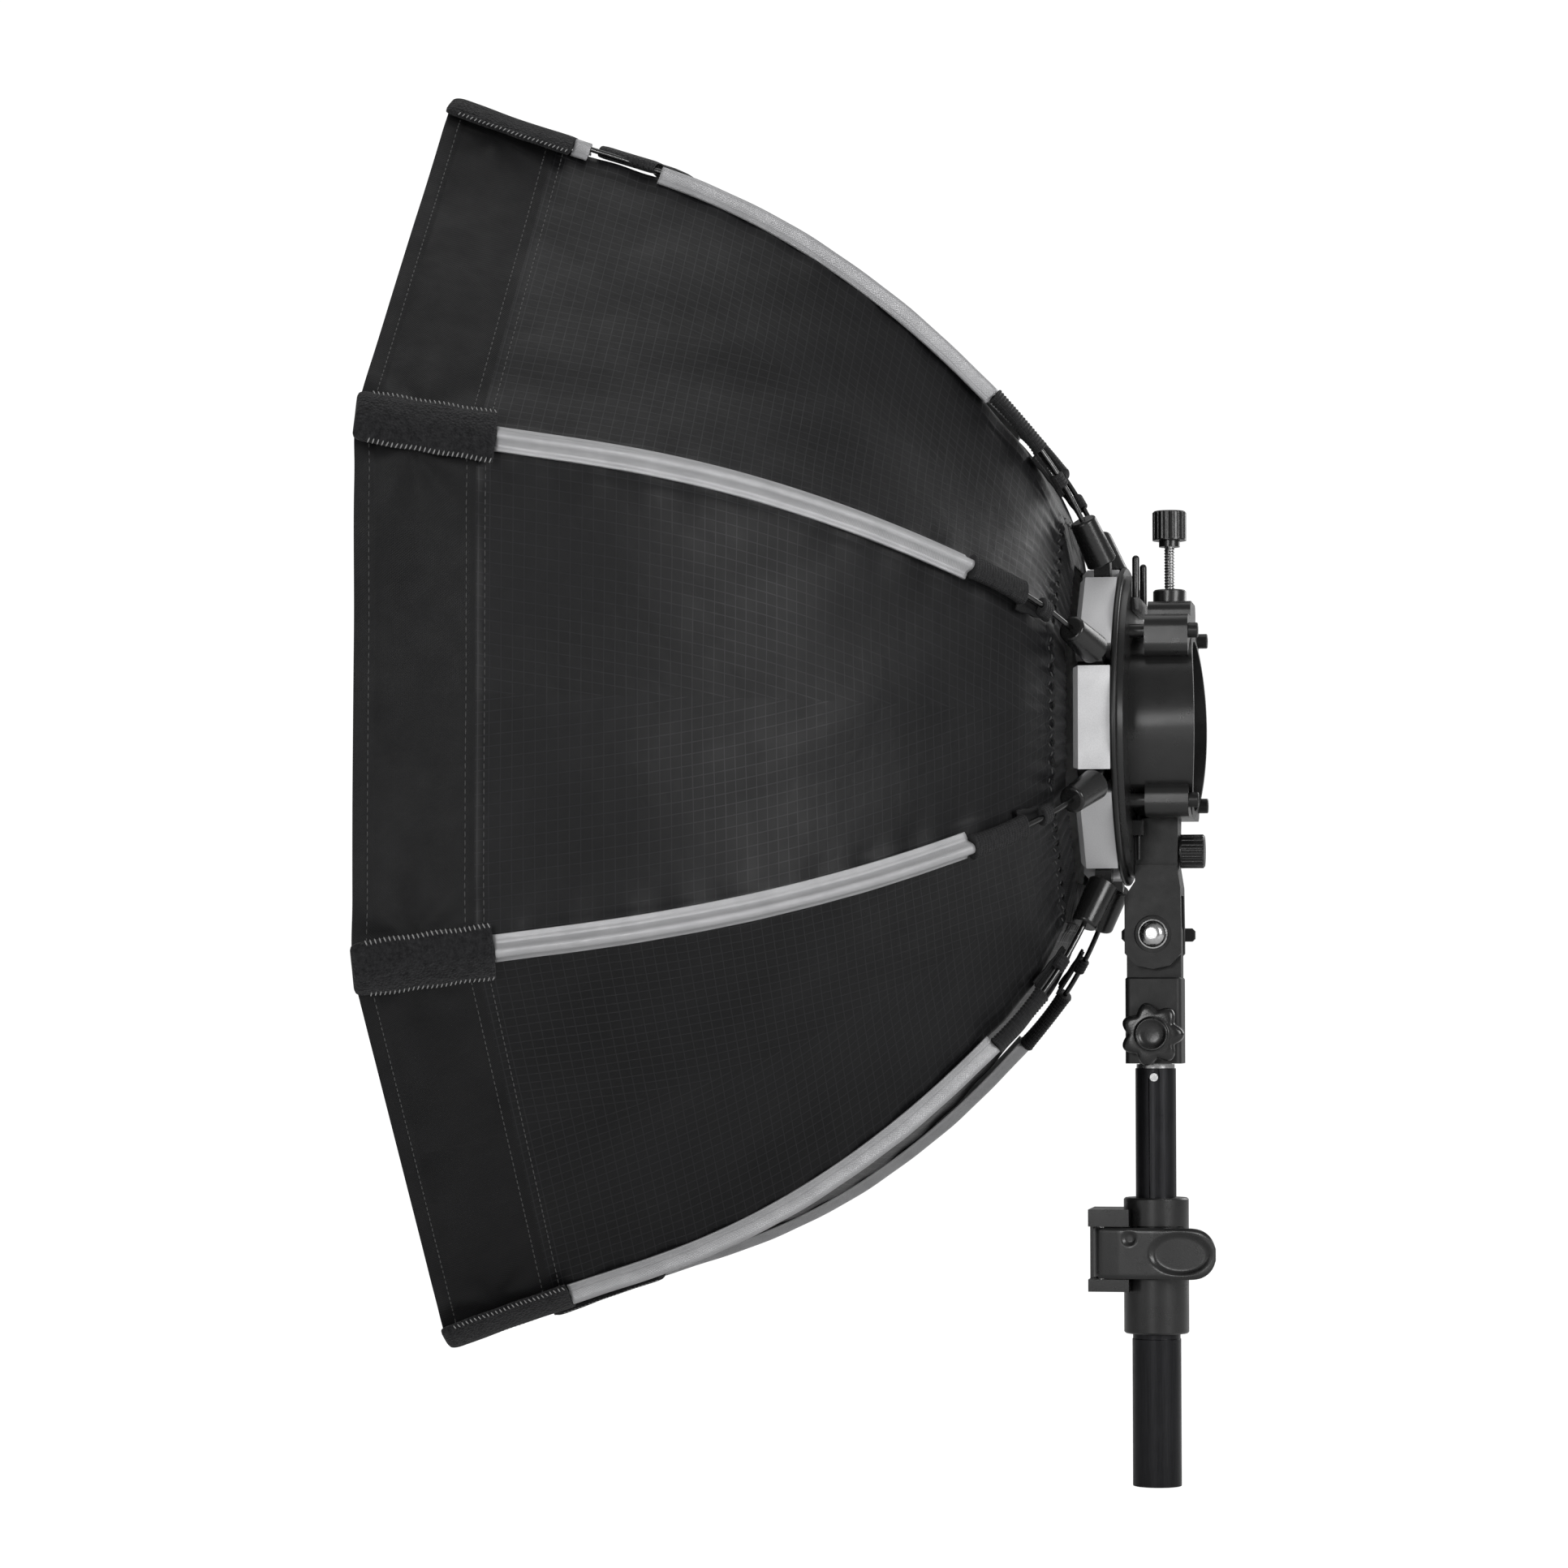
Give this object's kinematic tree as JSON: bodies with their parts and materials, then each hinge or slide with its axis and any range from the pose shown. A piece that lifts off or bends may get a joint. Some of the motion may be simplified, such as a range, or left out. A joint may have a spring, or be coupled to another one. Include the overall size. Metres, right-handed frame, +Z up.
{
  "type": "studio softbox",
  "caption": "Octagonal folding softbox with silver-lined black cloth and a diffuser, on a clamp-type flash bracket with tilt arm, knobs and the head of a light stand.",
  "frame": {"origin": "centre of the lower end of the stand's lower tube, on the tube's axis", "axes": "+Z up along the stand tube; the softbox faces -Y; X runs sideways along the tilt axis"},
  "size_m": [0.6112, 0.3614, 0.6796],
  "materials": {
    "ripstop_black": "matte coated ripstop cloth, silver inside",
    "sleeve_silver": "shiny silver-grey coated cloth sleeve",
    "diffuser_white": "matte translucent white cloth",
    "webbing_black": "woven webbing",
    "rod_steel": "dark spring-steel rod",
    "plastic_black": "fine-textured moulded plastic",
    "metal_black": "black powder coat",
    "hub_silver": "silver paint",
    "steel": "plated steel",
    "rubber_black": "soft rubber",
    "tube_black": "black anodised"
  },
  "bodies": {
    "stand": {"lower_tube": "tube_black", "collar": "plastic_black", "lever_pin": "steel"},
    "mast": {"upper_tube": "tube_black", "spigot": "steel"},
    "lever": {"lock_lever": "plastic_black"},
    "adapter_body": {"adapter": "plastic_black"},
    "star": {"star_knob": "plastic_black"},
    "head": {"tilt_arm": "plastic_black", "pivot_bolt": "steel", "clamp_body": "plastic_black", "ring_screws": "metal_black", "latch_guide": "metal_black", "base_pad": "rubber_black", "hub_flange": "metal_black", "hub_segments": "hub_silver", "hinge_pins": "steel", "diffuser": "diffuser_white"},
    "wing": {"tilt_wing": "plastic_black"},
    "rear": {"rear_knob": "plastic_black"},
    "latch_body": {"latch": "metal_black"},
    "pad": {"clamp_pad": "rubber_black"},
    "screw": {"clamp_screw": "steel", "clamp_knob": "plastic_black"},
    "rib_1": {"rod_1": "rod_steel", "socket_1": "plastic_black", "rib_cover_1": "sleeve_silver", "canopy_panel_1": "ripstop_black"},
    "rib_2": {"rod_2": "rod_steel", "socket_2": "plastic_black", "rib_cover_2": "sleeve_silver", "canopy_panel_2": "ripstop_black", "handle": "webbing_black"},
    "rib_3": {"rod_3": "rod_steel", "socket_3": "plastic_black", "rib_cover_3": "sleeve_silver", "canopy_panel_3": "ripstop_black"},
    "rib_4": {"rod_4": "rod_steel", "socket_4": "plastic_black", "rib_cover_4": "sleeve_silver", "canopy_panel_4": "ripstop_black"},
    "rib_5": {"rod_5": "rod_steel", "socket_5": "plastic_black", "rib_cover_5": "sleeve_silver", "canopy_panel_5": "ripstop_black"},
    "rib_6": {"rod_6": "rod_steel", "socket_6": "plastic_black", "rib_cover_6": "sleeve_silver", "canopy_panel_6": "ripstop_black"},
    "rib_7": {"rod_7": "rod_steel", "socket_7": "plastic_black", "rib_cover_7": "sleeve_silver", "canopy_panel_7": "ripstop_black"},
    "rib_8": {"rod_8": "rod_steel", "socket_8": "plastic_black", "rib_cover_8": "sleeve_silver", "canopy_panel_8": "ripstop_black"}
  },
  "joints": [
    {"name": "height_slide", "type": "slide", "parent": "stand", "child": "mast", "axis": [0, 0, 1], "range_m": [-0.018, 0.05]},
    {"name": "lever_open", "type": "hinge", "parent": "stand", "child": "lever", "pos_m": [0.0155, -0.0255, 0.1147], "axis": [0, 0, -1], "range_deg": [0, 110]},
    {"name": "pan", "type": "hinge", "parent": "mast", "child": "adapter_body", "pos_m": [0, 0, 0.23], "axis": [0, 0, 1], "continuous": true},
    {"name": "star_turn", "type": "hinge", "parent": "adapter_body", "child": "star", "pos_m": [0.018, 0, 0.2217], "axis": [1, 0, 0], "continuous": true},
    {"name": "tilt", "type": "hinge", "parent": "adapter_body", "child": "head", "pos_m": [0, 0, 0.271], "axis": [1, 0, 0], "range_deg": [-75, 32]},
    {"name": "wing_turn", "type": "hinge", "parent": "head", "child": "wing", "pos_m": [-0.018, 0, 0.271], "axis": [1, 0, 0], "continuous": true},
    {"name": "rear_knob_turn", "type": "hinge", "parent": "head", "child": "rear", "pos_m": [0, 0.018, 0.312], "axis": [0, 1, 0], "continuous": true},
    {"name": "latch_slide", "type": "slide", "parent": "head", "child": "latch_body", "axis": [0, 1, 0], "range_m": [0, 0.003], "stiffness_N_per_m": 1500, "springref_m": -0.001},
    {"name": "pad_slide", "type": "slide", "parent": "head", "child": "pad", "axis": [0, 0, -1], "range_m": [0, 0.012]},
    {"name": "screw_turn", "type": "hinge", "parent": "pad", "child": "screw", "pos_m": [0, 0.008, 0.45], "axis": [0, 0, 1], "range_deg": [0, 2880]},
    {"name": "fold_1", "type": "hinge", "parent": "head", "child": "rib_1", "pos_m": [0.05913, -0.022, 0.39849], "axis": [0.3827, 0, -0.9239], "range_deg": [0, 38], "deforming": ["canopy_panel_1", "diffuser"]},
    {"name": "fold_2", "type": "hinge", "parent": "head", "child": "rib_2", "pos_m": [0.02449, -0.022, 0.43313], "axis": [0.9239, 0, -0.3827], "range_deg": [0, 38], "deforming": ["canopy_panel_2", "handle"]},
    {"name": "fold_3", "type": "hinge", "parent": "head", "child": "rib_3", "pos_m": [-0.02449, -0.022, 0.43313], "axis": [0.9239, 0, 0.3827], "range_deg": [0, 38], "deforming": ["canopy_panel_3"]},
    {"name": "fold_4", "type": "hinge", "parent": "head", "child": "rib_4", "pos_m": [-0.05913, -0.022, 0.39849], "axis": [0.3827, 0, 0.9239], "range_deg": [0, 38], "deforming": ["canopy_panel_4"]},
    {"name": "fold_5", "type": "hinge", "parent": "head", "child": "rib_5", "pos_m": [-0.05913, -0.022, 0.34951], "axis": [-0.3827, 0, 0.9239], "range_deg": [0, 38], "deforming": ["canopy_panel_5"]},
    {"name": "fold_6", "type": "hinge", "parent": "head", "child": "rib_6", "pos_m": [-0.02449, -0.022, 0.31487], "axis": [-0.9239, 0, 0.3827], "range_deg": [0, 38], "deforming": ["canopy_panel_6"]},
    {"name": "fold_7", "type": "hinge", "parent": "head", "child": "rib_7", "pos_m": [0.02449, -0.022, 0.31487], "axis": [-0.9239, 0, -0.3827], "range_deg": [0, 38], "deforming": ["canopy_panel_7"]},
    {"name": "fold_8", "type": "hinge", "parent": "head", "child": "rib_8", "pos_m": [0.05913, -0.022, 0.34951], "axis": [-0.3827, 0, -0.9239], "range_deg": [0, 38], "deforming": ["canopy_panel_8"]}
  ],
  "couplings": [
    {"joint": "pad_slide", "follows": "screw_turn", "m_per_rad": 0.00023873},
    {"joint": "fold_2", "follows": "fold_1", "ratio": 1},
    {"joint": "fold_3", "follows": "fold_1", "ratio": 1},
    {"joint": "fold_4", "follows": "fold_1", "ratio": 1},
    {"joint": "fold_5", "follows": "fold_1", "ratio": 1},
    {"joint": "fold_6", "follows": "fold_1", "ratio": 1},
    {"joint": "fold_7", "follows": "fold_1", "ratio": 1},
    {"joint": "fold_8", "follows": "fold_1", "ratio": 1}
  ]
}
